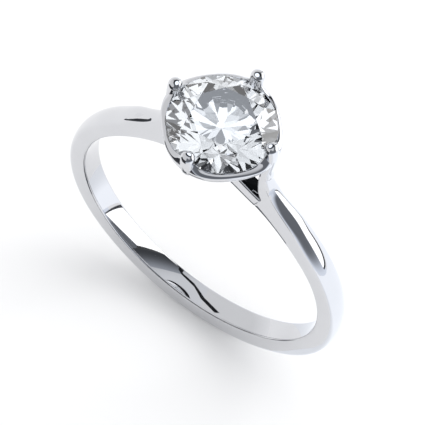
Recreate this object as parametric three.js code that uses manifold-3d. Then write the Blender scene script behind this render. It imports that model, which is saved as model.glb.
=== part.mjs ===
// A solitaire engagement ring: a band that tapers towards a raised four-claw tulip head, which
// holds one round brilliant diamond.
//
// Millimetres. The origin is the centre of the finger hole, halfway across the band. The finger
// lies along Y, +Z points up through the stone, and +X points to the right-hand shoulder.
// An "angle" of the band is measured round the finger from the top, so the palm side is at 180.

import * as THREE from "three";
import { ConvexGeometry } from "three/addons/geometries/ConvexGeometry.js";
import { mergeVertices } from "three/addons/utils/BufferGeometryUtils.js";
import Module from "manifold-3d";

const wasm = await Module();
wasm.setup();

// ---------------------------------------------------------------- driving dimensions

const HOLE_RADIUS = 8.65; // finger hole
const BAND_HALF_WIDTH = 0.775; // the band's sides are flat and parallel round the lower part
const HEAD_HALF_WIDTH = 0.45; // and draw in towards the head
const TAPER_START = 52; // degrees
const TAPER_END = 12;
const INNER_EDGE = 0.12; // rounding of the band's inner edges
const OUTER_EDGE = 0.3; // rounding of its outer edges
const CROWN = 0.12; // dome of the outer face between those edges
const SHANK_END = 40; // the angle where the shank meets a shoulder
const BRIDGE_END = 20.8; // the angle where a shoulder meets the bridge
const SOLDER_GAP = 0.012; // between pieces that are soldered face to face

// Outer radius of the shank against its angle: fuller on the palm side, finest at the sides
const SHANK_OUTLINE = [
  [SHANK_END, 10.22],
  [55, 10.0],
  [80, 10.01],
  [115, 10.27],
  [150, 10.42],
  [180, 10.5],
];

// A right-hand shoulder in its own plane, X and Z: the inner and the outer rail, first along the
// finger and then, past the bridge, up the free limb that carries the side claw
const SHOULDER_FOOT = 34;
const SHOULDER_MIDDLE = 28;
const FOOT_OUTER = [
  [5.84, 8.66],
  [5.08, 9.32],
  [4.05, 10.46],
];
const LIMB_INNER = [
  [3.41, 9.05],
  [3.17, 9.6],
  [3.05, 10.2],
  [2.99, 10.8],
  [2.98, 11.45],
];
const LIMB_OUTER = [
  [4.02, 10.51],
  [3.88, 10.76],
  [3.77, 11.0],
  [3.69, 11.22],
  [3.64, 11.45],
];

// The bridge under the head
const BRIDGE_END_OUTER = 9.66;
const BRIDGE_TOP = 10.1;
const BRIDGE_ARCH = 0.3; // lift of its underside above the finger hole
const BRIDGE_MIDDLE_HALF_WIDTH = 0.38;

// The diamond: a round brilliant of standard proportions
const STONE_RADIUS = 3.15;
const GIRDLE_TOP = 13.52; // height of the girdle's upper edge
const GIRDLE_THICKNESS = 0.19;
const TABLE_RATIO = 0.57;
const CROWN_ANGLE = 34.5;
const PAVILION_ANGLE = 40.75;
const STAR_LENGTH = 0.5;
const LOWER_HALF_LENGTH = 0.77;
const GIRDLE_STEPS = 64;

// The tulip cup that the claws rise from, and the ring below it
const CUP_RADIUS = 3.27; // outer radius of its upright wall, halfway between two claws
const CUP_UPRIGHT = 13.3; // height below which the wall curves in
const CUP_CURVE = 0.42;
const CUP_BOTTOM = 11.1;
const CUP_RIM = 13.36; // halfway between two claws
const CUP_RISE = 0.28; // rise of the rim to each claw
const CUP_FLARE = 0.3; // swelling of the outer wall to each claw
const CUP_FLARE_FULL = 12.6; // height where that swelling is complete
const CUP_WALL_BOTTOM = 0.36;
const CUP_WALL_TOP = 0.19;
const BASE_INNER = 0.9;
const BASE_OUTER = 1.29;
const BASE_BOTTOM = 9.7;

// Claw centre lines in their own plane, radius and height, from the foot to the tip
const SIDE_CLAW = [
  [3.31, 11.462],
  [3.33, 12.2],
  [3.38, 12.9],
  [3.44, 13.5],
  [3.37, 14.05],
  [3.19, 14.48],
];
const LONG_CLAW = [
  [1.72, 11.22],
  [2.35, 11.75],
  [2.88, 12.35],
  [3.24, 12.95],
  [3.44, 13.5],
  [3.37, 14.05],
  [3.19, 14.48],
];
const CLAW_HALF_WIDTH = 0.37;
const CLAW_HALF_DEPTH = 0.35;
const SIDE_FOOT = [0.44, 0.31]; // half width and half depth at the foot
const LONG_FOOT = [0.22, 0.2];

// ---------------------------------------------------------------- geometry helpers

const radians = THREE.MathUtils.degToRad;
const { lerp, smoothstep } = THREE.MathUtils;

/** A point of the band's middle plane, at a radius and an angle from the top in degrees. */
function polar(radius, angle) {
  return new THREE.Vector2(Math.sin(radians(angle)) * radius, Math.cos(radians(angle)) * radius);
}

/** The points of a smooth curve through the given plane points. */
function smooth(points, steps) {
  return new THREE.SplineCurve(points.map((p) => new THREE.Vector2(...p))).getPoints(steps);
}

/** Indexed triangles of a grid of closed loops; the grid itself closes when wrap is true. */
function gridFaces(rows, columns, wrap) {
  const faces = [];
  const last = wrap ? rows : rows - 1;
  for (let i = 0; i < last; i++) {
    for (let j = 0; j < columns; j++) {
      const next = ((i + 1) % rows) * columns;
      const a = i * columns + j;
      const b = i * columns + ((j + 1) % columns);
      const c = next + ((j + 1) % columns);
      const d = next + j;
      faces.push(a, b, c, a, c, d);
    }
  }
  return faces;
}

/** A geometry from vertices and triangles, turned so that its faces point out. */
function closedGeometry(vertices, faces) {
  const corner = (k) => vertices[faces[k]];
  let volume = 0;
  for (let k = 0; k < faces.length; k += 3) {
    const cross = new THREE.Vector3().crossVectors(corner(k + 1), corner(k + 2));
    volume += corner(k).dot(cross);
  }
  const index = volume < 0 ? [...faces].reverse() : faces;
  const positions = vertices.flatMap((v) => [v.x, v.y, v.z]);
  return new THREE.BufferGeometry()
    .setAttribute("position", new THREE.Float32BufferAttribute(positions, 3))
    .setIndex(index);
}

/** A solid skin over a row of closed loops, with a flat fan over each end loop. */
function loft(loops) {
  const columns = loops[0].length;
  const vertices = loops.flat();
  const faces = gridFaces(loops.length, columns, false);
  for (const row of [0, loops.length - 1]) {
    const centre = new THREE.Vector3();
    loops[row].forEach((p) => centre.addScaledVector(p, 1 / columns));
    const hub = vertices.push(centre) - 1;
    for (let j = 0; j < columns; j++) {
      const a = row * columns + j;
      const b = row * columns + ((j + 1) % columns);
      faces.push(...(row === 0 ? [hub, b, a] : [hub, a, b]));
    }
  }
  return closedGeometry(vertices, faces);
}

/** A closed solid of loops that follow one another round and back to the first. */
function roundLoft(loops) {
  return closedGeometry(loops.flat(), gridFaces(loops.length, loops[0].length, true));
}

function toSolid(geometry) {
  const bare = geometry.clone();
  bare.deleteAttribute("normal");
  bare.deleteAttribute("uv");
  const merged = mergeVertices(bare, 1e-4);
  const vertProperties = new Float32Array(merged.attributes.position.array);
  const triVerts = new Uint32Array(merged.index.array);
  return new wasm.Manifold(new wasm.Mesh({ numProp: 3, vertProperties, triVerts }));
}

function toGeometry(solid) {
  const { vertProperties, triVerts } = solid.getMesh();
  return new THREE.BufferGeometry()
    .setAttribute("position", new THREE.BufferAttribute(vertProperties, 3))
    .setIndex(new THREE.BufferAttribute(triVerts, 1));
}

function cut(geometry, ...cutters) {
  const solid = cutters.reduce((rest, cutter) => rest.subtract(toSolid(cutter)), toSolid(geometry));
  return toGeometry(solid);
}

// ---------------------------------------------------------------- band

/** Half the band's width at an angle from the top. */
function halfWidth(angle) {
  const share = smoothstep(Math.abs(angle), TAPER_END, TAPER_START);
  return lerp(HEAD_HALF_WIDTH, BAND_HALF_WIDTH, share);
}

/**
 * One cross section, from an inner to an outer point of the band's middle plane: a flat inner
 * face, flat sides, rounded edges and a slightly domed outer face.
 */
function bandSection(inner, outer, half, edge = OUTER_EDGE, crown = CROWN) {
  const height = inner.distanceTo(outer);
  const shoulder = height - crown - edge;
  const side = [
    [half - INNER_EDGE, 0],
    [half, INNER_EDGE],
  ];
  for (const turn of [0, 25, 50, 75]) {
    const across = half - edge * (1 - Math.cos(radians(turn)));
    side.push([across, shoulder + edge * Math.sin(radians(turn))]);
  }
  const mirrored = side.map(([across, up]) => [-across, up]).reverse();
  const loop = [...side, [0, height], ...mirrored];
  return loop.map(([across, up]) => {
    const p = inner.clone().lerp(outer, up / height);
    return new THREE.Vector3(p.x, across, p.y);
  });
}

/** The C-shaped shank, from one shoulder round the palm side to the other. */
function shankGeometry() {
  const right = smooth(SHANK_OUTLINE, 34);
  right[0].x += THREE.MathUtils.radToDeg(SOLDER_GAP / HOLE_RADIUS);
  const left = right.slice(0, -1).map((p) => new THREE.Vector2(360 - p.x, p.y));
  const stations = [...right, ...left.reverse()];
  return loft(
    stations.map(({ x: angle, y: radius }) => {
      const width = halfWidth(Math.min(angle, 360 - angle));
      return bandSection(polar(HOLE_RADIUS, angle), polar(radius, angle), width);
    }),
  );
}

/** The right-hand shoulder, or its mirror image when side is -1. */
function shoulderGeometry(side) {
  const footInner = [SHANK_END, SHOULDER_FOOT, SHOULDER_MIDDLE, BRIDGE_END].map((angle) =>
    polar(HOLE_RADIUS, angle).toArray(),
  );
  const footOuter = [polar(SHANK_OUTLINE[0][1], SHANK_END).toArray(), ...FOOT_OUTER];
  const inner = [...smooth(footInner, 9), ...smooth(LIMB_INNER, 8)];
  const outer = [...smooth(footOuter, 9), ...smooth(LIMB_OUTER, 8)];
  return loft(
    inner.map((foot, i) => {
      const angle = THREE.MathUtils.radToDeg(Math.atan2(foot.x, foot.y));
      const edge = Math.min(OUTER_EDGE, 0.4 * foot.distanceTo(outer[i]));
      const loop = bandSection(foot, outer[i], halfWidth(angle), edge);
      return loop.map((p) => new THREE.Vector3(side * p.x, p.y, p.z));
    }),
  );
}

/** The bridge that closes the finger hole under the head, between the two shoulders. */
function bridgeGeometry() {
  const steps = 20;
  const end = BRIDGE_END - THREE.MathUtils.radToDeg(SOLDER_GAP / HOLE_RADIUS);
  const loops = [];
  for (let i = 0; i <= steps; i++) {
    const angle = lerp(-end, end, i / steps);
    const towardsMiddle = Math.cos((Math.PI / 2) * (angle / end)) ** 2;
    const inner = polar(HOLE_RADIUS + BRIDGE_ARCH * towardsMiddle, angle);
    const outer = polar(lerp(BRIDGE_END_OUTER, BRIDGE_TOP, towardsMiddle), angle);
    const half = lerp(halfWidth(end), BRIDGE_MIDDLE_HALF_WIDTH, towardsMiddle);
    loops.push(bandSection(inner, outer, half, 0.1, 0.02));
  }
  return loft(loops);
}

// ---------------------------------------------------------------- diamond

/**
 * The brilliant's corners. Facets of one kind repeat every 45 degrees: the main facets face
 * 0, 45 ... and the paired girdle facets face 11.25 degrees to each side of 22.5, 67.5 ...
 * grow enlarges the stone all round, for cutting its seat.
 */
function diamondGeometry(grow = 0) {
  const radius = STONE_RADIUS + grow;
  const girdleTop = GIRDLE_TOP + grow;
  const girdleBottom = GIRDLE_TOP - GIRDLE_THICKNESS - grow;
  const crownSlope = Math.tan(radians(CROWN_ANGLE));
  const pavilionSlope = Math.tan(radians(PAVILION_ANGLE));
  const half = Math.cos(radians(22.5));
  const quarter = Math.cos(radians(11.25));
  const table = TABLE_RATIO * radius;
  const star = lerp(table * half, radius, STAR_LENGTH);
  const lower = (1 - LOWER_HALF_LENGTH) * radius;
  const starHeight = (radius - star * half) * crownSlope;
  const lowerDepth = (radius - lower * half) * pavilionSlope;
  const upperGirdleSlope = starHeight / ((radius - star) * quarter);
  const lowerGirdleSlope = lowerDepth / ((radius - lower) * quarter);
  const points = [];
  const add = (distance, angle, z) => {
    const a = radians(angle);
    points.push(new THREE.Vector3(distance * Math.cos(a), distance * Math.sin(a), z));
  };
  for (let k = 0; k < 8; k++) {
    add(table, 45 * k, girdleTop + (radius - table) * crownSlope);
    add(star, 45 * k + 22.5, girdleTop + starHeight);
    add(lower, 45 * k + 22.5, girdleBottom - lowerDepth);
  }
  for (let k = 0; k < GIRDLE_STEPS; k++) {
    const angle = (360 / GIRDLE_STEPS) * k;
    const offCentre = Math.abs((angle % 22.5) - 11.25);
    const scallop = radius * (Math.cos(radians(offCentre)) - quarter);
    add(radius, angle, girdleTop - scallop * upperGirdleSlope * 0.5);
    add(radius, angle, girdleBottom + scallop * lowerGirdleSlope * 0.5);
  }
  points.push(new THREE.Vector3(0, 0, girdleBottom - radius * pavilionSlope));
  return new ConvexGeometry(points);
}

// ---------------------------------------------------------------- head

/** Outer radius of the cup's wall at a height, halfway between two claws. */
function cupRadius(z) {
  return CUP_RADIUS - CUP_CURVE * Math.max(CUP_UPRIGHT - z, 0) ** 2;
}

/** The cup: a bowl open at the bottom, whose rim dips between the claws. */
function cupGeometry() {
  const around = 80;
  const rise = 7;
  const loops = [];
  for (let i = 0; i < around; i++) {
    const turn = (2 * Math.PI * i) / around;
    const rim = CUP_RIM + CUP_RISE * Math.cos(2 * turn) ** 6;
    const flare = CUP_FLARE * Math.cos(2 * turn) ** 2;
    const outside = [];
    const inside = [];
    for (let j = 0; j <= rise; j++) {
      const z = lerp(CUP_BOTTOM, rim, j / rise);
      const wall = lerp(CUP_WALL_BOTTOM, CUP_WALL_TOP, j / rise);
      outside.push([cupRadius(z) + flare * smoothstep(z, CUP_BOTTOM, CUP_FLARE_FULL), z]);
      inside.push([cupRadius(z) - wall, z]);
    }
    const profile = [...outside, ...inside.reverse()];
    loops.push(profile.map(([r, z]) => new THREE.Vector3(r * Math.cos(turn), r * Math.sin(turn), z)));
  }
  return roundLoft(loops);
}

/** The short ring that stands on the bridge and carries the cup. */
function baseGeometry() {
  const top = CUP_BOTTOM - SOLDER_GAP;
  const profile = [
    [BASE_INNER, BASE_BOTTOM],
    [BASE_OUTER, BASE_BOTTOM],
    [BASE_OUTER, top],
    [BASE_INNER, top],
    [BASE_INNER, BASE_BOTTOM],
  ];
  const ring = new THREE.LatheGeometry(profile.map((p) => new THREE.Vector2(...p)), 48);
  return ring.rotateX(Math.PI / 2);
}

/**
 * A claw along +X: an oval rod that follows its centre line and ends in a dome.
 * grow enlarges it all round, for cutting its slot.
 */
function clawGeometry(centreLine, foot, grow = 0) {
  const steps = 14;
  const around = 16;
  const line = new THREE.SplineCurve(centreLine.map((p) => new THREE.Vector2(...p)));
  const ring = (at, tangent, halfWide, halfDeep) => {
    const normal = new THREE.Vector2(tangent.y, -tangent.x);
    return Array.from({ length: around }, (_, j) => {
      const a = (2 * Math.PI * j) / around;
      const p = at.clone().addScaledVector(normal, halfDeep * Math.cos(a));
      return new THREE.Vector3(p.x, halfWide * Math.sin(a), p.y);
    });
  };
  const loops = [];
  for (let i = 0; i <= steps; i++) {
    const t = i / steps;
    const widen = smoothstep(t, 0, 0.75);
    const halfWide = lerp(foot[0], CLAW_HALF_WIDTH, widen) + grow;
    const halfDeep = lerp(foot[1], CLAW_HALF_DEPTH, widen) + grow;
    loops.push(ring(line.getPoint(t), line.getTangent(t), halfWide, halfDeep));
  }
  const tip = line.getPoint(1);
  const way = line.getTangent(1);
  for (const turn of [30, 55, 78]) {
    const shrink = Math.cos(radians(turn));
    const at = tip.clone().addScaledVector(way, (CLAW_HALF_DEPTH * 0.8 + grow) * Math.sin(radians(turn)));
    loops.push(ring(at, way, (CLAW_HALF_WIDTH + grow) * shrink, (CLAW_HALF_DEPTH + grow) * shrink));
  }
  return loft(loops);
}

// ---------------------------------------------------------------- assembly

const metal = () =>
  new THREE.MeshStandardMaterial({ color: 0xe4e5ea, roughness: 0.1, metalness: 1 });
const gem = () =>
  new THREE.MeshStandardMaterial({
    color: 0xf3f7ff,
    roughness: 0.02,
    metalness: 0,
    transparent: true,
    opacity: 0.5,
  });

const ring = new THREE.Group();

function addPiece(name, geometry, material = metal()) {
  const mesh = new THREE.Mesh(geometry, material);
  mesh.name = name;
  ring.add(mesh);
}

addPiece("shank", shankGeometry());
addPiece("shoulder_left", shoulderGeometry(-1));
addPiece("shoulder_right", shoulderGeometry(1));

const bridge = bridgeGeometry();
addPiece("bridge", bridge);

const claws = [
  { name: "claw_right", turn: 0, line: SIDE_CLAW, foot: SIDE_FOOT },
  { name: "claw_back", turn: 90, line: LONG_CLAW, foot: LONG_FOOT },
  { name: "claw_left", turn: 180, line: SIDE_CLAW, foot: SIDE_FOOT },
  { name: "claw_front", turn: 270, line: LONG_CLAW, foot: LONG_FOOT },
];
const slots = claws.map(({ turn, line, foot }) =>
  clawGeometry(line, foot, SOLDER_GAP).rotateZ(radians(turn)),
);
const seat = diamondGeometry(SOLDER_GAP);
for (const { name, turn, line, foot } of claws) {
  const claw = clawGeometry(line, foot).rotateZ(radians(turn));
  addPiece(name, cut(claw, seat));
}
addPiece("tulip_cup", cut(cupGeometry(), seat, ...slots));
addPiece("base_ring", cut(baseGeometry(), bridge.clone().translate(0, 0, SOLDER_GAP), bridge));
addPiece("diamond", diamondGeometry(), gem());

export default ring;
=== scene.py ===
"""A solitaire engagement ring in polished platinum, on a pale floor.

Lengths below are millimetres in the part's own frame: origin at the centre of the finger hole,
the finger along Y, +Z up through the stone. They are turned into metres as the meshes are made.
"""

from math import cos, exp, pi, radians, sin, tan

import bmesh
import bpy
import numpy as np
from mathutils import Matrix, Vector


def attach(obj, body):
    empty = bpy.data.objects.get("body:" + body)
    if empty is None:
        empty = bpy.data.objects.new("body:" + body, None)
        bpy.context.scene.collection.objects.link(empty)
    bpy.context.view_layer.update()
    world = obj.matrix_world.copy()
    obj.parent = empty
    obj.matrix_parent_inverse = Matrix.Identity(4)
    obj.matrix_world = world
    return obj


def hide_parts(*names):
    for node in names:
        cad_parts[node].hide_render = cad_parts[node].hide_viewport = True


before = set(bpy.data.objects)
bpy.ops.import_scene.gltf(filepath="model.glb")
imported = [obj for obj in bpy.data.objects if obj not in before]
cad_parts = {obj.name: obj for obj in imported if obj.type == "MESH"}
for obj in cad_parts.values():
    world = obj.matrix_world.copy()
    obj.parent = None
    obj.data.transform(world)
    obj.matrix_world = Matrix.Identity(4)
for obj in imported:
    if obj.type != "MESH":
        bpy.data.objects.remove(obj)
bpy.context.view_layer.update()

MM = 0.001

# ---------------------------------------------------------------- dimensions

HOLE_RADIUS = 8.65
BAND_HALF_WIDTH = 0.775
HEAD_HALF_WIDTH = 0.45
TAPER_START, TAPER_END = 52, 12  # degrees from the top
INNER_EDGE = 0.14  # rounding of the inner edges
INNER_DOME = 0.065  # how much the inner face falls back towards its edges
INNER_DOME_SLOPE = 8  # degrees, where that face meets its rounded edge
OUTER_EDGE = 0.3  # rounding of the outer edges
OUTER_EDGE_SHARE = 0.4  # and its limit, as a share of the metal's depth
CROWN = 0.12  # dome of the outer face between its edges

# The band's outer line as (degrees from the top, radius), then as points (x, z) of the middle
# plane: up the shoulder's foot, and both sides of the free limb above it
SHANK_OUTLINE = [(40, 10.22), (55, 10.0), (80, 10.01), (115, 10.27), (150, 10.42), (180, 10.5)]
FOOT_OUTER = [(5.84, 8.66), (5.08, 9.32), (4.05, 10.46)]
LIMB_INNER = [(3.41, 9.05), (3.17, 9.6), (3.05, 10.2), (2.99, 10.8), (2.98, 11.45)]
LIMB_OUTER = [(4.02, 10.51), (3.88, 10.76), (3.77, 11.0), (3.69, 11.22), (3.64, 11.45)]

BRIDGE_END = 20.8  # degrees from the top
BRIDGE_END_OUTER = 9.66
BRIDGE_TOP = 10.1
BRIDGE_ARCH = 0.3
BRIDGE_MIDDLE_HALF_WIDTH = 0.38
BRIDGE_RUN_IN = 3.0  # degrees that each end runs on inside a shoulder
BRIDGE_SINK = 0.06  # how far it draws in there, over the degrees below
BRIDGE_SINK_TURN = 0.6
BRIDGE_EDGE, BRIDGE_CROWN = 0.1, 0.02

STONE_RADIUS = 3.15
GIRDLE_TOP = 13.52
GIRDLE_THICKNESS = 0.19
TABLE_RATIO = 0.57
CROWN_ANGLE = 34.5
PAVILION_ANGLE = 40.75
STAR_LENGTH = 0.5
LOWER_HALF_LENGTH = 0.77
STONE_TURN = -13  # degrees about the stone's own axis

CUP_LIP_RADIUS = 3.12
CUP_LIP = 13.5
CUP_RADIUS = 3.33
CUP_UPRIGHT = 13.3  # the height where the outside wall is upright and widest
CUP_BOTTOM_RADIUS = 1.237
CUP_BOTTOM = 11.1
PETAL_RISE = 0.6
PETAL_SPREAD = 10.5  # degrees either side of a claw
PETAL_SWELL_SIDE, PETAL_SWELL_LONG = 0.3, 0.13
CUP_LIP_ROUNDNESS = 1.3  # 1 is an elliptic lip, more is a sharper one
CUP_WALL = 0.36
BASE_INNER, BASE_OUTER = 0.9, 1.29
BASE_BOTTOM, BASE_TOP = 9.7, 11.15
BASE_TOP_LOOP = 11.0  # a loop close under the top edge
BASE_FLARE, BASE_FLARE_HEIGHT = 0.12, 0.4

# Claw centre lines in their own plane, as (radius, z) from the foot to the tip
SIDE_CLAW = [(3.31, 11.462), (3.31, 12.2), (3.32, 12.9), (3.33, 13.5), (3.31, 14.0), (3.27, 14.34)]
LONG_CLAW = [(1.72, 11.22), (2.3, 11.75), (2.8, 12.35), (3.09, 12.95), (3.2, 13.5), (3.25, 14.0),
             (3.26, 14.34)]
CLAW_HALF_WIDTH, CLAW_HALF_DEPTH = 0.42, 0.4
SIDE_FOOT = (0.44, 0.31)  # half width and half depth at the foot
LONG_FOOT = (0.22, 0.2)
CLAW_FULL = 0.75  # share of a claw's length where it has its full width
LIMB_FADE = 0.35  # share of a side claw's length where the limb's section has turned oval
TIP_DOME_END = 88  # degrees round the dome, where its last loop is closed by a fan

# ---------------------------------------------------------------- fineness of the meshes

RAIL_STEPS, RAIL_STRIDE = 900, 3
LIMB_STEPS = 26
SIDE_CLAW_STEPS, LONG_CLAW_STEPS = 46, 70
LONG_CLAW_SIDES = 48
TIP_STEPS = 8
EDGE_STEPS, FACE_STEPS = 8, 5
BRIDGE_STEPS = 120
CUP_SIDES = 720
CUP_RISE_STEPS, CUP_LIP_STEPS, CUP_FALL_STEPS = 30, 16, 30
BASE_SIDES = 128
GIRDLE_STEPS = 128
SAME_FACET = 0.35  # degrees between two triangles of one facet

# ---------------------------------------------------------------- curve and mesh helpers


def clamp01(x):
    return min(max(x, 0.0), 1.0)


def smoothstep(x, low, high):
    t = clamp01((x - low) / (high - low))
    return t * t * (3 - 2 * t)


def lerp(a, b, t):
    return a + (b - a) * t


def polar(radius, angle):
    """A point of the band's middle plane, at a radius and an angle from the top in degrees."""
    return np.array([sin(radians(angle)) * radius, cos(radians(angle)) * radius])


def spline(knots, count):
    """Evenly spaced points on the natural cubic spline through plane points."""
    p = np.array(knots, float)
    t = np.concatenate([[0], np.cumsum(np.linalg.norm(np.diff(p, axis=0), axis=1))])
    n = len(p)
    h = np.diff(t)
    system = np.eye(n)
    right = np.zeros((n, p.shape[1]))
    for i in range(1, n - 1):
        system[i, i - 1:i + 2] = h[i - 1], 2 * (h[i - 1] + h[i]), h[i]
        right[i] = 6 * ((p[i + 1] - p[i]) / h[i] - (p[i] - p[i - 1]) / h[i - 1])
    bend = np.linalg.solve(system, right)
    out = []
    for s in np.linspace(0, t[-1], count):
        i = min(int(np.searchsorted(t, s, side="right")) - 1, n - 2)
        a, b, w = t[i + 1] - s, s - t[i], h[i]
        out.append((bend[i] * a**3 + bend[i + 1] * b**3) / (6 * w)
                   + (p[i] / w - bend[i] * w / 6) * a + (p[i + 1] / w - bend[i + 1] * w / 6) * b)
    return np.array(out)


def toward(azimuth, elevation, distance):
    """The point at a distance from the ring, azimuth from +X towards +Y, in degrees."""
    a, e = radians(azimuth), radians(elevation)
    return (distance * cos(e) * cos(a), distance * cos(e) * sin(a), distance * sin(e))


def nearest(line, place):
    """The index of a line's point that lies nearest to a place."""
    return int(np.argmin(np.linalg.norm(line - np.array(place), axis=1)))


def grid_faces(rows, columns, wrap_rows=False):
    """The quads of a skin over closed rows of points."""
    faces = []
    for i in range(rows if wrap_rows else rows - 1):
        k = (i + 1) % rows
        for j in range(columns):
            m = (j + 1) % columns
            faces.append((i * columns + j, i * columns + m, k * columns + m, k * columns + j))
    return faces


def make_piece(name, vertices, faces, material, nodes, smooth=True):
    """A closed mesh from millimetres, turned outwards, riding on the ring and standing for nodes."""
    mesh = bpy.data.meshes.new(name)
    mesh.from_pydata([tuple(MM * c for c in v) for v in vertices], [], faces)
    bm = bmesh.new()
    bm.from_mesh(mesh)
    bmesh.ops.remove_doubles(bm, verts=bm.verts, dist=1e-8)
    bmesh.ops.recalc_face_normals(bm, faces=bm.faces)
    for face in bm.faces:
        face.smooth = smooth
    bm.to_mesh(mesh)
    bm.free()
    mesh.materials.append(material)
    piece = bpy.data.objects.new(name, mesh)
    bpy.context.scene.collection.objects.link(piece)
    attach(piece, "root")
    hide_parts(*nodes)
    return piece


def loft(loops):
    """Vertices and faces of a skin over closed loops, with a fan over each end."""
    columns = len(loops[0])
    vertices = [tuple(p) for loop in loops for p in loop]
    faces = grid_faces(len(loops), columns)
    for row in (0, len(loops) - 1):
        vertices.append(tuple(np.mean(np.array(loops[row]), axis=0)))
        hub = len(vertices) - 1
        for j in range(columns):
            faces.append((row * columns + j, row * columns + (j + 1) % columns, hub))
    return vertices, faces


def revolve(profile_at, sides):
    """Vertices and faces of a closed (radius, z) profile taken round Z; it may change on the way."""
    loops = []
    for i in range(sides):
        turn = 360 * i / sides
        a = radians(turn)
        loops.append([(r * cos(a), r * sin(a), z) for r, z in profile_at(turn)])
    vertices = [p for loop in loops for p in loop]
    return vertices, grid_faces(sides, len(loops[0]), wrap_rows=True)


# ---------------------------------------------------------------- band


def half_width(angle):
    share = smoothstep(abs(angle), TAPER_END, TAPER_START)
    return lerp(HEAD_HALF_WIDTH, BAND_HALF_WIDTH, share)


def half_profile(half, height, inner_edge, edge, crown):
    """Half of a cross section, from the middle of the inner face to the middle of the outer one."""
    sag = INNER_DOME * (half / BAND_HALF_WIDTH) ** 2
    points = []
    for i in range(FACE_STEPS + 1):
        across = lerp(0, half - inner_edge, i / FACE_STEPS)
        points.append((across, sag * (across / half) ** 2))
    foot = points[-1][1]
    for i in range(1, EDGE_STEPS + 1):
        a = radians(lerp(INNER_DOME_SLOPE, 90, i / EDGE_STEPS))
        points.append((half - inner_edge * (1 - sin(a)), foot + inner_edge * (1 - cos(a))))
    shoulder = height - crown - edge
    points += [(half, lerp(points[-1][1], shoulder, i / FACE_STEPS)) for i in range(1, FACE_STEPS)]
    across = half - edge
    reach = edge + crown
    radius = (across**2 + reach**2 - edge**2) / (2 * crown)
    meet = np.arcsin(min(across / (radius - edge), 1.0))
    for i in range(EDGE_STEPS + 1):
        a = lerp(0, pi / 2 - meet, i / EDGE_STEPS)
        points.append((across + edge * cos(a), shoulder + edge * sin(a)))
    for i in range(1, EDGE_STEPS + 1):
        a = lerp(meet, 0, i / EDGE_STEPS)
        points.append((radius * sin(a), height - radius * (1 - cos(a))))
    return points


def section(inner, outer, half, inner_edge=INNER_EDGE, edge=OUTER_EDGE, crown=CROWN):
    """A closed cross section between two points of the middle plane."""
    inner, outer = np.array(inner), np.array(outer)
    height = np.linalg.norm(outer - inner)
    side = half_profile(half, height, inner_edge, edge, crown)
    loop = side + [(-a, u) for a, u in reversed(side[1:-1])]
    points = []
    for across, up in loop:
        p = lerp(inner, outer, up / height)
        points.append(np.array([p[0], across, p[1]]))
    return np.array(points)


def oval(centre, tangent, half_wide, half_deep, count):
    """A closed oval whose points start at the inner side, like section's."""
    normal = np.array([tangent[1], -tangent[0]])
    points = []
    for j in range(count):
        a = pi + 2 * pi * j / count
        p = centre + normal * half_deep * cos(a)
        points.append(np.array([p[0], -half_wide * sin(a), p[1]]))
    return np.array(points)


def tangents(points):
    t = np.gradient(points, axis=0)
    return t / np.linalg.norm(t, axis=1)[:, None]


def tip_dome(tip, way, count):
    """The loops that close a claw's tip."""
    loops = []
    for i in range(1, TIP_STEPS):
        a = radians(TIP_DOME_END * i / (TIP_STEPS - 1))
        at = tip + way * CLAW_HALF_DEPTH * sin(a)
        loops.append(oval(at, way, CLAW_HALF_WIDTH * cos(a), CLAW_HALF_DEPTH * cos(a), count))
    return loops


def claw_size(share, foot):
    """Half width and half depth of a claw at a share of its length."""
    widen = smoothstep(share, 0, CLAW_FULL)
    return lerp(foot[0], CLAW_HALF_WIDTH, widen), lerp(foot[1], CLAW_HALF_DEPTH, widen)


def shank_and_foot():
    """Cross sections from the palm up the right side to the top of the shoulder's foot."""
    past_the_palm = [(360 - a, r) for a, r in SHANK_OUTLINE[3:-1]]
    knots = [polar(r, a) for a, r in past_the_palm + SHANK_OUTLINE[::-1]]
    rail = spline(knots + FOOT_OUTER + LIMB_OUTER[1:], RAIL_STEPS)
    palm_angle, palm_radius = SHANK_OUTLINE[-1]
    start = nearest(rail, polar(palm_radius, palm_angle))
    foot = rail[start:nearest(rail, FOOT_OUTER[-1]) + 1:RAIL_STRIDE]
    turned = np.degrees(np.arctan2(foot[:, 0], foot[:, 1]))
    leaves = SHANK_OUTLINE[0][0]
    loops = []
    for outer, turn in zip(foot, turned):
        angle = turn
        if turn < leaves:
            angle = lerp(leaves, BRIDGE_END, (leaves - turn) / (leaves - turned[-1]))
        loops.append(section(polar(HOLE_RADIUS, angle), outer, half_width(angle)))
    return loops


COUNT = len(section((0, 0), (0, 2 * BAND_HALF_WIDTH), BAND_HALF_WIDTH))


def limb_and_claw():
    """Cross sections up the free limb and the claw on it, ending in a dome."""
    inner = spline(LIMB_INNER, LIMB_STEPS)
    outer = spline(LIMB_OUTER, LIMB_STEPS)
    loops = []
    for a, b in zip(inner, outer):
        angle = np.degrees(np.arctan2(a[0], a[1]))
        edge = min(OUTER_EDGE, OUTER_EDGE_SHARE * np.linalg.norm(b - a))
        loops.append(section(a, b, half_width(angle), edge=edge))
    line = spline(SIDE_CLAW, SIDE_CLAW_STEPS)
    way = tangents(line)
    squared = loops[-1] - np.mean(loops[-1], axis=0)
    for i in range(1, len(line)):
        share = i / (len(line) - 1)
        ring = oval(line[i], way[i], *claw_size(share, SIDE_FOOT), COUNT)
        keep = 1 - smoothstep(share, 0, LIMB_FADE)
        loops.append(lerp(ring, np.mean(ring, axis=0) + squared, keep))
    return loops + tip_dome(line[-1], way[-1], COUNT)


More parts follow.
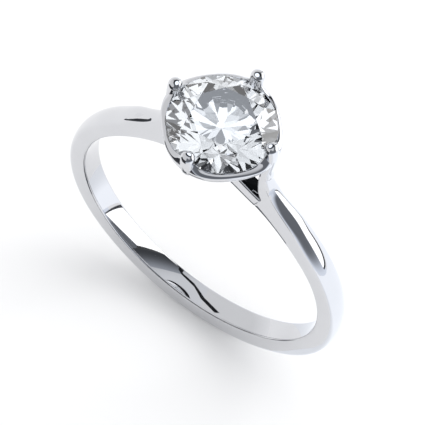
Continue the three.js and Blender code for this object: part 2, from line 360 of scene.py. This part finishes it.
def build_band(material):
    """The band, both shoulders and the side claws as one skin, because their joints don't show."""
    right = shank_and_foot() + limb_and_claw()
    mirror = np.array([-1, 1, 1])
    left = [loop * mirror for loop in reversed(right[1:])]
    vertices, faces = loft(left + right)
    nodes = ["shank", "shoulder_left", "shoulder_right", "claw_left", "claw_right"]
    return make_piece("band_metal", vertices, faces, material, nodes)


def build_bridge(material):
    """The bridge: its ends run a little way into the shoulders."""
    loops = []
    end = BRIDGE_END + BRIDGE_RUN_IN
    for i in range(BRIDGE_STEPS + 1):
        angle = lerp(-end, end, i / BRIDGE_STEPS)
        share = clamp01(abs(angle) / BRIDGE_END)
        middle = cos(pi / 2 * share) ** 2
        sunk = BRIDGE_SINK * smoothstep(abs(angle), BRIDGE_END, BRIDGE_END + BRIDGE_SINK_TURN)
        inner = polar(HOLE_RADIUS + BRIDGE_ARCH * middle + sunk, angle)
        outer = polar(lerp(BRIDGE_END_OUTER, BRIDGE_TOP, middle) - sunk, angle)
        half = lerp(half_width(BRIDGE_END), BRIDGE_MIDDLE_HALF_WIDTH, middle) - sunk
        loops.append(section(inner, outer, half, BRIDGE_EDGE, BRIDGE_EDGE, BRIDGE_CROWN))
    vertices, faces = loft(loops)
    return make_piece("bridge_metal", vertices, faces, material, ["bridge"])


# ---------------------------------------------------------------- head


def cup_profile(turn):
    """The cup's wall in one direction, as (radius, z): up the outside, over the lip, down the inside."""
    between = (turn + 45) % 90 - 45
    petal = cos(radians(2 * turn)) ** 2
    side = cos(radians(turn)) ** 2
    widest = CUP_RADIUS + petal * lerp(PETAL_SWELL_LONG, PETAL_SWELL_SIDE, side)
    top = CUP_LIP + PETAL_RISE * exp(-(between / PETAL_SPREAD) ** 2)

    def outside(z):
        drop = (CUP_UPRIGHT - z) / (CUP_UPRIGHT - CUP_BOTTOM)
        return widest - (widest - CUP_BOTTOM_RADIUS) * drop**2

    points = []
    for j in range(CUP_RISE_STEPS + 1):
        z = lerp(CUP_BOTTOM, CUP_UPRIGHT, j / CUP_RISE_STEPS)
        points.append((outside(z), z))
    for j in range(1, CUP_LIP_STEPS + 1):
        a = pi / 2 * j / CUP_LIP_STEPS
        points.append((CUP_LIP_RADIUS + (widest - CUP_LIP_RADIUS) * cos(a) ** CUP_LIP_ROUNDNESS,
                       CUP_UPRIGHT + (top - CUP_UPRIGHT) * sin(a) ** CUP_LIP_ROUNDNESS))
    for j in range(1, CUP_FALL_STEPS + 1):
        z = lerp(top, CUP_BOTTOM, j / CUP_FALL_STEPS)
        points.append((min(CUP_LIP_RADIUS, outside(min(z, CUP_UPRIGHT)) - CUP_WALL), z))
    return points


def build_cup(material):
    vertices, faces = revolve(cup_profile, CUP_SIDES)
    return make_piece("cup_metal", vertices, faces, material, ["tulip_cup"])


def build_base(material):
    """The short ring under the cup, flared where it stands on the bridge."""
    profile = [(BASE_INNER, BASE_BOTTOM), (BASE_OUTER + BASE_FLARE, BASE_BOTTOM)]
    for turn in range(10, 91, 10):
        a = radians(turn)
        profile.append((BASE_OUTER + BASE_FLARE * (1 - sin(a)),
                        BASE_BOTTOM + BASE_FLARE_HEIGHT * (1 - cos(a))))
    profile += [(BASE_OUTER, BASE_TOP_LOOP), (BASE_OUTER, BASE_TOP), (BASE_INNER, BASE_TOP)]
    vertices, faces = revolve(lambda turn: profile, BASE_SIDES)
    return make_piece("base_metal", vertices, faces, material, ["base_ring"])


def build_long_claw(name, turn, material):
    """A claw that runs down the cup, turned about Z from +X in degrees."""
    line = spline(LONG_CLAW, LONG_CLAW_STEPS)
    way = tangents(line)
    loops = []
    for i, (p, t) in enumerate(zip(line, way)):
        loops.append(oval(p, t, *claw_size(i / (len(line) - 1), LONG_FOOT), LONG_CLAW_SIDES))
    vertices, faces = loft(loops + tip_dome(line[-1], way[-1], LONG_CLAW_SIDES))
    spin = Matrix.Rotation(radians(turn), 3, "Z")
    vertices = [tuple(spin @ Vector(v)) for v in vertices]
    return make_piece(name + "_metal", vertices, faces, material, [name])


# ---------------------------------------------------------------- diamond


def build_diamond(material):
    """A round brilliant as the convex hull of its corners, with a scalloped girdle."""
    radius = STONE_RADIUS
    girdle_bottom = GIRDLE_TOP - GIRDLE_THICKNESS
    crown_slope = tan(radians(CROWN_ANGLE))
    pavilion_slope = tan(radians(PAVILION_ANGLE))
    half, quarter = cos(radians(22.5)), cos(radians(11.25))
    table = TABLE_RATIO * radius
    star = lerp(table * half, radius, STAR_LENGTH)
    lower = (1 - LOWER_HALF_LENGTH) * radius
    star_height = (radius - star * half) * crown_slope
    lower_depth = (radius - lower * half) * pavilion_slope
    upper_slope = star_height / ((radius - star) * quarter)
    lower_slope = lower_depth / ((radius - lower) * quarter)
    points = []

    def add(distance, angle, z):
        a = radians(angle + STONE_TURN)
        points.append((distance * cos(a), distance * sin(a), z))

    for k in range(8):
        add(table, 45 * k, GIRDLE_TOP + (radius - table) * crown_slope)
        add(star, 45 * k + 22.5, GIRDLE_TOP + star_height)
        add(lower, 45 * k + 22.5, girdle_bottom - lower_depth)
    for k in range(GIRDLE_STEPS):
        angle = 360 / GIRDLE_STEPS * k
        scallop = radius * (cos(radians(abs(angle % 22.5 - 11.25))) - quarter)
        add(radius, angle, GIRDLE_TOP - scallop * upper_slope)
        add(radius, angle, girdle_bottom + scallop * lower_slope)
    points.append((0, 0, girdle_bottom - radius * pavilion_slope))
    bm = bmesh.new()
    for p in points:
        bm.verts.new(p)
    bmesh.ops.convex_hull(bm, input=bm.verts)
    bmesh.ops.dissolve_limit(bm, angle_limit=radians(SAME_FACET), verts=bm.verts, edges=bm.edges)
    bm.verts.index_update()
    vertices = [tuple(v.co) for v in bm.verts]
    faces = [tuple(v.index for v in f.verts) for f in bm.faces]
    bm.free()
    return make_piece("stone", vertices, faces, material, ["diamond"], smooth=False)


# ---------------------------------------------------------------- materials

NOISE_LOW, NOISE_HIGH = 0.3, 0.7  # the range that holds nearly all of a noise's values
RELIEF_STRENGTH = 0.1
MARKS_DETAIL = 3.0
DIAMOND_IOR = 2.42


def add_node(tree, kind, values=(), **settings):
    """A node with its settings made and its inputs' values given by name."""
    node = tree.nodes.new("ShaderNode" + kind)
    for key, value in settings.items():
        setattr(node, key, value)
    for key, value in dict(values).items():
        node.inputs[key].default_value = value
    return node


def noise(tree, place, scale, detail=2.0, stretch=(1, 1, 1)):
    """A noise over the piece's own coordinates, in features per metre."""
    mapping = add_node(tree, "Mapping", {"Scale": stretch})
    texture = add_node(tree, "TexNoise", {"Scale": scale, "Detail": detail}, noise_dimensions="4D")
    tree.links.new(place.outputs["Object"], mapping.inputs["Vector"])
    tree.links.new(mapping.outputs["Vector"], texture.inputs["Vector"])
    return texture.outputs["Fac"]


def spread(tree, value, low, high):
    """The middle of a noise's range brought to low to high."""
    ramp = add_node(tree, "MapRange", {"From Min": NOISE_LOW, "From Max": NOISE_HIGH,
                                       "To Min": low, "To Max": high})
    tree.links.new(value, ramp.inputs["Value"])
    return ramp.outputs["Result"]


def tint(tree, value, dark, light):
    """A colour between two, by a noise."""
    mix = add_node(tree, "Mix", data_type="RGBA")
    mix.inputs[6].default_value = (*dark, 1)
    mix.inputs[7].default_value = (*light, 1)
    tree.links.new(spread(tree, value, 0, 1), mix.inputs[0])
    return mix.outputs[2]


def relief(tree, value, height):
    """A bump of a height in metres."""
    bump = add_node(tree, "Bump", {"Strength": RELIEF_STRENGTH, "Distance": height})
    tree.links.new(value, bump.inputs["Height"])
    return bump.outputs["Normal"]


def polished(name, colours, roughness, haze, polish, stretch, height):
    """
    A polished surface: a cloudy haze drives the tone and the roughness, polishing marks the
    relief. haze and polish are features per metre, and height is the marks' in metres.
    """
    material = bpy.data.materials.new(name)
    material.use_nodes = True
    tree = material.node_tree
    shader = tree.nodes["Principled BSDF"]
    place = add_node(tree, "TexCoord")
    clouds = noise(tree, place, haze)
    marks = noise(tree, place, polish, MARKS_DETAIL, stretch)
    tree.links.new(tint(tree, clouds, *colours), shader.inputs["Base Color"])
    tree.links.new(spread(tree, clouds, *roughness), shader.inputs["Roughness"])
    tree.links.new(relief(tree, marks, height), shader.inputs["Normal"])
    return material, shader


def platinum(name):
    colours = ((0.65, 0.655, 0.675), (0.67, 0.675, 0.695))
    material, shader = polished(name, colours, roughness=(0.022, 0.042), haze=450, polish=5000,
                                stretch=(0.15, 1, 1), height=2e-7)
    shader.inputs["Metallic"].default_value = 1
    return material


def diamond_material():
    colours = ((0.992, 0.996, 1), (1, 1, 1))
    material, shader = polished("diamond", colours, roughness=(0, 0.002), haze=300, polish=3000,
                                stretch=(1, 1, 1), height=2e-8)
    shader.inputs["IOR"].default_value = DIAMOND_IOR
    shader.inputs["Transmission Weight"].default_value = 1
    return material


# ---------------------------------------------------------------- ring

metal = platinum("platinum")
build_band(metal)
build_bridge(metal)
build_cup(metal)
build_base(metal)
build_long_claw("claw_front", 270, metal)
build_long_claw("claw_back", 90, metal)
build_diamond(diamond_material())

# ---------------------------------------------------------------- camera

AIM = (0.065, 0.368, 2.209)
CAMERA_AZIMUTH, CAMERA_ELEVATION, CAMERA_ROLL = -61.686, 62.961, 8.871
CAMERA_DISTANCE = 123.57
LENS, SENSOR = 174.95, 36


def build_camera():
    data = bpy.data.cameras.new("camera")
    data.lens = LENS
    data.sensor_width = SENSOR
    data.clip_start = 0.001
    data.clip_end = 10
    back = Vector(toward(CAMERA_AZIMUTH, CAMERA_ELEVATION, 1))
    level = Vector((0, 0, 1)).cross(back).normalized()
    right = Matrix.Rotation(radians(CAMERA_ROLL), 3, back) @ level
    turn = Matrix((right, back.cross(right), back)).transposed().to_4x4()
    camera = bpy.data.objects.new("camera", data)
    camera.matrix_world = Matrix.Translation((Vector(AIM) + back * CAMERA_DISTANCE) * MM) @ turn
    bpy.context.scene.collection.objects.link(camera)
    bpy.context.scene.camera = camera


build_camera()

# ---------------------------------------------------------------- studio helpers


def glowing(name):
    """A new material that only gives light, with its tree and its emission node."""
    material = bpy.data.materials.new(name)
    material.use_nodes = True
    material.cycles.emission_sampling = "NONE"
    tree = material.node_tree
    tree.nodes.clear()
    glow = add_node(tree, "Emission")
    tree.links.new(glow.outputs["Emission"], add_node(tree, "OutputMaterial").inputs["Surface"])
    return material, tree, glow


def hang(name, mesh, material):
    """A stage object that only the ring shows, in its reflections or through its stone."""
    mesh.materials.append(material)
    obj = bpy.data.objects.new(name, mesh)
    bpy.context.scene.collection.objects.link(obj)
    obj.visible_camera = False
    obj.visible_diffuse = False
    obj.visible_shadow = False
    return obj


def card(name, rows, colour, strength, fade=None):
    """
    A lit or a black card near the ring. rows are two lists of corners, a strip between them.
    fade is (direction, (place, share), (place, share)): the card's strength along a direction.
    """
    material, tree, glow = glowing(name)
    glow.inputs["Color"].default_value = (*colour, 1)
    glow.inputs["Strength"].default_value = strength
    if fade:
        direction, (place0, share0), (place1, share1) = fade
        along = add_node(tree, "VectorMath", {1: Vector(direction).normalized()}, operation="DOT_PRODUCT")
        ramp = add_node(tree, "MapRange", {"From Min": place0 * MM, "From Max": place1 * MM,
                                           "To Min": share0 * strength, "To Max": share1 * strength},
                        interpolation_type="SMOOTHSTEP")
        tree.links.new(add_node(tree, "TexCoord").outputs["Object"], along.inputs[0])
        tree.links.new(along.outputs["Value"], ramp.inputs["Value"])
        tree.links.new(ramp.outputs["Result"], glow.inputs["Strength"])
    lower, upper = rows
    n = len(lower)
    mesh = bpy.data.meshes.new(name)
    mesh.from_pydata([tuple(MM * c for c in p) for p in [*lower, *upper]], [],
                     [(i, i + 1, n + i + 1, n + i) for i in range(n - 1)])
    return hang(name, mesh, material)


def metal_card(*values, **settings):
    """A card that the metal mirrors and that isn't seen through the stone."""
    card(*values, **settings).visible_transmission = False


def wall(name, places, bottom, top, colour, strength, fade=None):
    """An upright card over a line of (x, y) places."""
    lower = [(x, y, bottom) for x, y in places]
    upper = [(x, y, top) for x, y in places]
    return card(name, (lower, upper), colour, strength, fade)


def floor_card(name, near, far, lift, colour, strength, fade=None):
    """A metal_card just over the floor between two lines of (x, y) places."""
    rows = [[(x, y, FLOOR_Z + lift) for x, y in line] for line in (near, far)]
    metal_card(name, rows, colour, strength, fade)


def brilliance(name, radius, scale, stops):
    """A dome of soft light and dark patches, seen only through the stone."""
    material, tree, glow = glowing(name)
    patches = noise(tree, add_node(tree, "TexCoord"), scale, 0.0)
    ramp = add_node(tree, "ValToRGB")
    elements = ramp.color_ramp.elements
    elements.remove(elements[1])
    for i, (place, level) in enumerate(stops):
        element = elements[0] if i == 0 else elements.new(place)
        element.position = place
        element.color = (*(c * level for c in BRILLIANCE_COLOUR), 1)
    tree.links.new(patches, ramp.inputs["Fac"])
    tree.links.new(ramp.outputs["Color"], glow.inputs["Color"])
    bm = bmesh.new()
    bmesh.ops.create_uvsphere(bm, u_segments=48, v_segments=24, radius=radius * MM)
    bmesh.ops.delete(bm, geom=[v for v in bm.verts if v.co.z < 0], context="VERTS")
    mesh = bpy.data.meshes.new(name)
    bm.to_mesh(mesh)
    bm.free()
    hang(name, mesh, material).visible_glossy = False


def head_disc(name, inner, outer, colour, strength):
    """A flat ring of card close over the stone, leaning a little to the back and the left."""
    way = Vector(HEAD_DISC_WAY).normalized()
    middle = Vector((0, 0, GIRDLE_TOP)) + way * HEAD_DISC_DISTANCE
    side = way.cross(Vector((0, 0, 1))).normalized()
    up = side.cross(way)
    turns = [2 * pi * k / HEAD_DISC_SIDES for k in range(HEAD_DISC_SIDES + 1)]
    rows = [[middle + (side * cos(a) + up * sin(a)) * r for a in turns] for r in (inner, outer)]
    metal_card(name, rows, colour, strength)


def soft_sun(name, azimuth, elevation, width, strength):
    """An even light over the whole floor, as from a large far panel of a width in degrees."""
    data = bpy.data.lights.new(name, "SUN")
    data.angle = radians(width)
    data.energy = strength
    obj = bpy.data.objects.new(name, data)
    obj.rotation_mode = "QUATERNION"
    obj.rotation_quaternion = Vector(toward(azimuth, elevation, 1)).to_track_quat("Z", "Y")
    obj.visible_glossy = False
    obj.visible_transmission = False
    bpy.context.scene.collection.objects.link(obj)


# ---------------------------------------------------------------- studio

FLOOR_Z = -10.5
FLOOR_REACH = 2000
FLOOR_WHITE, FLOOR_ROUGHNESS = 0.9, 0.9
CARD_LIFT, BACK_FLOOR_LIFT = 0.1, 0.12  # of the floor's cards over the floor
UPWARDS = (0, 0, 1)

WHITE = (1, 1, 1)
COOL = (0.92, 0.98, 1.09)
CEILING_COLOUR = (0.97, 0.99, 1.03)
BACK_FLOOR_COLOUR = (0.97, 1.0, 1.05)
BRILLIANCE_COLOUR = (0.94, 0.98, 1.03)
TABLE_LIGHT_COLOUR = (0.92, 0.98, 1.08)

# The softbox stands at the right and the back, between two azimuths
SOFTBOX_BOTTOM, SOFTBOX_TOP = -3.0, 70.0
SOFTBOX_NEAR_FOOT, SOFTBOX_NEAR_HEAD = toward(9, 0, 88)[:2], toward(20, 0, 92)[:2]
SOFTBOX_FAR = toward(80, 0, 92)[:2]
SOFTBOX_FOOT_NEAR, SOFTBOX_FOOT_FAR = 2, 7  # height of its dark foot at each end
ABOVE_SOFTBOX = [toward(5, 0, 94)[:2], toward(80, 0, 94)[:2]]
ABOVE_SOFTBOX_TOP = 160

CEILING_Z = 150.0
CEILING_X, CEILING_Y = (-60, 260), (-140, 220)

# Dark flags that the metal mirrors as its grey and black bands
RIGHT_FLAG, RIGHT_FLAG_TOP = [(88, 28.5), (100, -40), (45, -50), (6, -38)], 75
FRONT_FLAG, FRONT_FLAG_TOP = [(6, -38), (-30, -45), (-80, -40)], 20
APRON_NEAR = [(6, -22), (-30, -29), (-80, -24)]
# The patch on the floor just in front of the ring's base is painted shadow: a dark card that the metal
# mirrors as a deeper contact shadow there
SHADOW_PATCH_NEAR, SHADOW_PATCH_FAR = [(-7, -9), (1, -9)], [(-7, -4), (1, -4)]
GAP_SHADE = ([(1.2, 0.6, 9.2), (3.4, 0.6, 9.2)], [(1.2, 0.7, 12.2), (3.4, 0.7, 12.2)])

# The black bar bends over the ring, as (azimuth, elevation) seen from the palm side
BAR = [(92, 0), (86, 30), (80, 57), (105, 60), (135, 64), (162, 54)]
BAR_HALF_WIDTH, BAR_DISTANCE = 2.3, 55

# The bright floor behind the ring, from near to far along the diagonal between +X and +Y
BACK_NEAR, BACK_FAR, BACK_REACH = 3, 80, 80
DIAGONAL = 0.707

HEAD_DISC_WAY = (-0.1, 0.18, 1)
HEAD_DISC_DISTANCE = 5.0
HEAD_DISC_SIDES = 48
TABLE_LIGHT_RADIUS, TABLE_FRAME_RADIUS = 3.1, 4.9
DISC_MIDDLE = 0.01

BRILLIANCE_RADIUS, BRILLIANCE_SCALE = 100, 12
BRILLIANCE_STOPS = [(0.34, 0.03), (0.42, 0.4), (0.5, 0.85), (0.62, 1.25)]

SKY_COLOUR = (0.98, 0.985, 1)
SKY_AT_HORIZON, SKY_HIGH, SKY_HIGH_FROM = 1.06, 0.86, 0.3


def at_height(z, *places):
    return [(x, y, z) for x, y in places]


def build_cards():
    foot = at_height(SOFTBOX_BOTTOM, SOFTBOX_NEAR_FOOT, SOFTBOX_FAR)
    card("softbox", (foot, at_height(SOFTBOX_TOP, SOFTBOX_NEAR_HEAD, SOFTBOX_FAR)), WHITE, 1.9)
    under = [*at_height(SOFTBOX_BOTTOM - SOFTBOX_FOOT_NEAR, SOFTBOX_NEAR_FOOT),
             *at_height(SOFTBOX_BOTTOM - SOFTBOX_FOOT_FAR, SOFTBOX_FAR)]
    card("softbox_foot", (under, foot), COOL, 0.08)
    card("ceiling", [[(x, y, CEILING_Z) for x in CEILING_X] for y in CEILING_Y], CEILING_COLOUR, 0.85,
         fade=(toward(33, 0, 1), (35, 1.0), (175, 0.08)))
    wall("above_softbox", ABOVE_SOFTBOX, SOFTBOX_TOP, ABOVE_SOFTBOX_TOP, COOL, 0.85,
         fade=(UPWARDS, (72, 0.08), (160, 0.5)))
    wall("right_flag", RIGHT_FLAG, FLOOR_Z, RIGHT_FLAG_TOP, COOL, 0.19,
         fade=(UPWARDS, (-10, 5.5), (16, 1)))
    wall("front_flag", FRONT_FLAG, FLOOR_Z, FRONT_FLAG_TOP, COOL, 0.05)
    floor_card("front_apron", APRON_NEAR, FRONT_FLAG, CARD_LIFT, COOL, 0.08)
    # painted shadow on the floor in front of the ring's base, seen only in the metal's reflections
    floor_card("floor_patch", SHADOW_PATCH_NEAR, SHADOW_PATCH_FAR, CARD_LIFT, COOL, 0.15)
    back = [[(DIAGONAL * (out - side), DIAGONAL * (out + side)) for side in (-BACK_REACH, BACK_REACH)]
            for out in (BACK_NEAR, BACK_FAR)]
    floor_card("back_floor", *back, BACK_FLOOR_LIFT, BACK_FLOOR_COLOUR, 1.0,
               fade=((1, 1, 0), (3, 1.03), (12, 1.32)))
    metal_card("gap_shade", GAP_SHADE, COOL, 0.01)
    palm = np.array([0, 0, -HOLE_RADIUS])
    edges = [[palm + toward(a + half, e + half, BAR_DISTANCE) for a, e in BAR]
             for half in (-BAR_HALF_WIDTH, BAR_HALF_WIDTH)]
    card("black_bar", edges, COOL, 0.02)
    brilliance("brilliance", BRILLIANCE_RADIUS, BRILLIANCE_SCALE, BRILLIANCE_STOPS)
    head_disc("table_light", DISC_MIDDLE, TABLE_LIGHT_RADIUS, TABLE_LIGHT_COLOUR, 1.7)
    head_disc("table_light_frame", TABLE_LIGHT_RADIUS, TABLE_FRAME_RADIUS, COOL, 0.02)


def build_floor():
    corners = [(-1, -1), (1, -1), (1, 1), (-1, 1)]
    mesh = bpy.data.meshes.new("floor")
    mesh.from_pydata([(x * FLOOR_REACH * MM, y * FLOOR_REACH * MM, FLOOR_Z * MM) for x, y in corners],
                     [], [(0, 1, 2, 3)])
    material = bpy.data.materials.new("floor_white")
    material.use_nodes = True
    shader = material.node_tree.nodes["Principled BSDF"]
    shader.inputs["Base Color"].default_value = (FLOOR_WHITE, FLOOR_WHITE, FLOOR_WHITE, 1)
    shader.inputs["Roughness"].default_value = FLOOR_ROUGHNESS
    shader.inputs["Specular IOR Level"].default_value = 0
    mesh.materials.append(material)
    floor = bpy.data.objects.new("floor", mesh)
    bpy.context.scene.collection.objects.link(floor)


def build_sky():
    """A pale surround, a little brighter towards the horizon."""
    world = bpy.data.worlds.new("studio")
    world.use_nodes = True
    tree = world.node_tree
    background = tree.nodes["Background"]
    background.inputs["Color"].default_value = (*SKY_COLOUR, 1)
    way_up = add_node(tree, "SeparateXYZ")
    level = add_node(tree, "MapRange", {"From Min": 0, "From Max": SKY_HIGH_FROM,
                                        "To Min": SKY_AT_HORIZON, "To Max": SKY_HIGH})
    tree.links.new(add_node(tree, "TexCoord").outputs["Generated"], way_up.inputs["Vector"])
    tree.links.new(way_up.outputs["Z"], level.inputs["Value"])
    tree.links.new(level.outputs["Result"], background.inputs["Strength"])
    bpy.context.scene.world = world


build_cards()
build_floor()
build_sky()
soft_sun("back_light", azimuth=62, elevation=38, width=40, strength=0.8)
soft_sun("top_light", azimuth=75, elevation=72, width=50, strength=0.65)
bpy.context.scene.view_settings.view_transform = "Standard"
